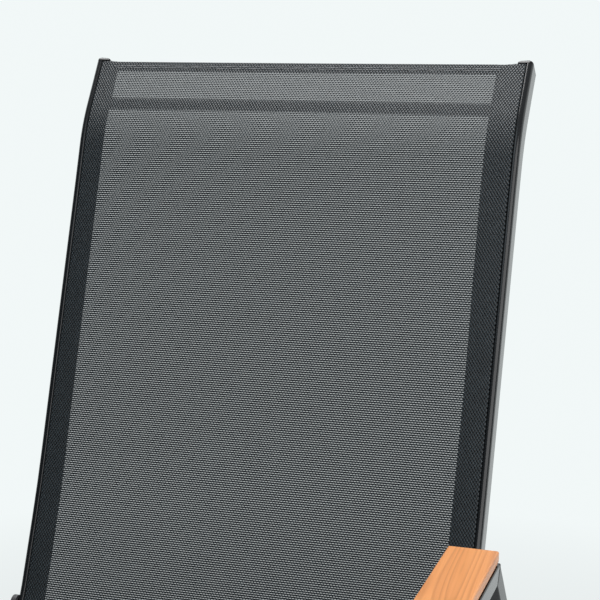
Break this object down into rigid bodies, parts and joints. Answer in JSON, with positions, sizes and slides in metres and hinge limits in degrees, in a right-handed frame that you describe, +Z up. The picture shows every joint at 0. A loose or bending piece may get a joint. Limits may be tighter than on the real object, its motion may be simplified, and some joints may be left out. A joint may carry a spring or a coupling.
{
  "type": "sling patio chair",
  "caption": "High-back patio armchair: grey mesh sling held in two bent metal side rails, on splayed leg frames with flat wooden arm rests.",
  "frame": {"origin": "on the floor under the middle of the chair", "axes": "+Z up, +X towards the sitter's left, and the chair faces -Y"},
  "size_m": [0.687, 0.7918, 1.0487],
  "materials": {
    "frame": "semi-gloss anthracite powder coat",
    "sling": "open weave of coated yarn, matt",
    "wood": "warm brown, satin",
    "plastic": "black moulded",
    "plate": "grey moulded",
    "steel": "zinc plated"
  },
  "bodies": {
    "root": {"side_rail_left": "frame", "sling_rod_left": "plastic", "rail_top_cap_left": "plastic", "rail_front_cap_left": "plastic", "head_tube_plug_left": "plastic", "rear_tube_plug_left": "steel", "front_tube_plug_left": "steel", "rear_leg_left": "frame", "front_leg_left": "frame", "arm_bar_left": "frame", "arm_rest_left": "wood", "arm_screw_left_1": "steel", "arm_screw_left_2": "steel", "arm_screw_left_3": "steel", "rear_glide_left": "plastic", "front_glide_left": "plastic", "rail_side_plate_left": "plate", "plate_screw_left_1": "steel", "plate_screw_left_2": "steel", "rear_spacer_left": "plastic", "front_spacer_left": "plastic", "rear_tapered_washer_left": "plastic", "front_tapered_washer_left": "plastic", "rear_frame_bolt_left": "steel", "front_frame_bolt_left": "steel", "side_rail_right": "frame", "sling_rod_right": "plastic", "rail_top_cap_right": "plastic", "rail_front_cap_right": "plastic", "head_tube_plug_right": "plastic", "rear_tube_plug_right": "steel", "front_tube_plug_right": "steel", "rear_leg_right": "frame", "front_leg_right": "frame", "arm_bar_right": "frame", "arm_rest_right": "wood", "arm_screw_right_1": "steel", "arm_screw_right_2": "steel", "arm_screw_right_3": "steel", "rear_glide_right": "plastic", "front_glide_right": "plastic", "rail_side_plate_right": "plate", "plate_screw_right_1": "steel", "plate_screw_right_2": "steel", "rear_spacer_right": "plastic", "front_spacer_right": "plastic", "rear_tapered_washer_right": "plastic", "front_tapered_washer_right": "plastic", "rear_frame_bolt_right": "steel", "front_frame_bolt_right": "steel", "sling": "sling", "head_cross_tube": "frame", "seat_rear_cross_tube": "frame", "seat_front_cross_tube": "frame"}
  },
  "joints": []
}
